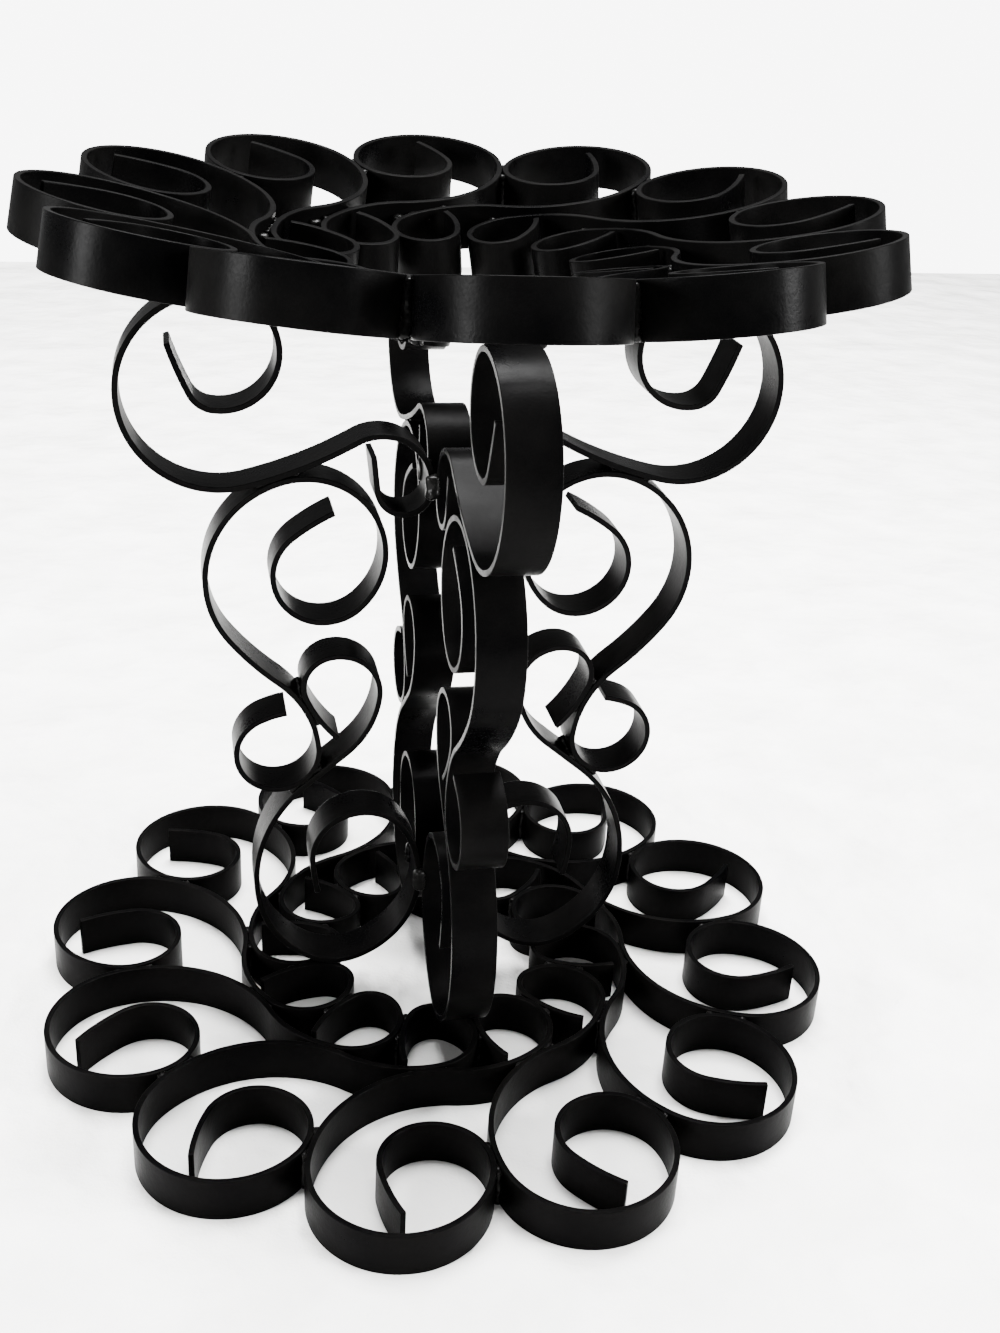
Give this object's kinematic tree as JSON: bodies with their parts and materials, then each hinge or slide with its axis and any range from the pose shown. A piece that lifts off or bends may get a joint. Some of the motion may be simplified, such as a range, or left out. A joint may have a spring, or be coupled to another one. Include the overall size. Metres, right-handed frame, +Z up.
{
  "type": "scrolled strip candle stand",
  "caption": "Open candle stand of bent steel strip: a flat ring of scrolls as foot, four legs of stacked scrolls and a dished ring of scrolls as the rest.",
  "frame": {"origin": "on the floor, under the centre of the base ring", "axes": "+Z up, the front leg towards -Y, the right leg towards +X"},
  "size_m": [0.2364, 0.2364, 0.2439],
  "materials": {
    "strip": "satin black paint over steel",
    "weld": "satin black paint over weld beads"
  },
  "bodies": {
    "root": {"base_scroll_01": "strip", "base_scroll_02": "strip", "base_scroll_03": "strip", "base_scroll_04": "strip", "base_scroll_05": "strip", "base_scroll_06": "strip", "base_scroll_07": "strip", "base_scroll_08": "strip", "base_scroll_09": "strip", "base_scroll_10": "strip", "base_scroll_11": "strip", "base_scroll_12": "strip", "top_scroll_01": "strip", "top_scroll_02": "strip", "top_scroll_03": "strip", "top_scroll_04": "strip", "top_scroll_05": "strip", "top_scroll_06": "strip", "top_scroll_07": "strip", "top_scroll_08": "strip", "top_scroll_09": "strip", "top_scroll_10": "strip", "top_scroll_11": "strip", "top_scroll_12": "strip", "leg_left_lower_scroll": "strip", "leg_left_middle_scroll": "strip", "leg_left_upper_scroll": "strip", "leg_front_lower_scroll": "strip", "leg_front_middle_scroll": "strip", "leg_front_upper_scroll": "strip", "leg_right_lower_scroll": "strip", "leg_right_middle_scroll": "strip", "leg_right_upper_scroll": "strip", "leg_back_lower_scroll": "strip", "leg_back_middle_scroll": "strip", "leg_back_upper_scroll": "strip", "base_ring_outer_welds": "weld", "base_ring_inner_welds": "weld", "top_ring_outer_welds": "weld", "top_ring_inner_welds": "weld", "leg_joint_welds": "weld", "centre_welds": "weld", "top_mount_welds": "weld", "foot_mount_welds": "weld"}
  },
  "joints": []
}
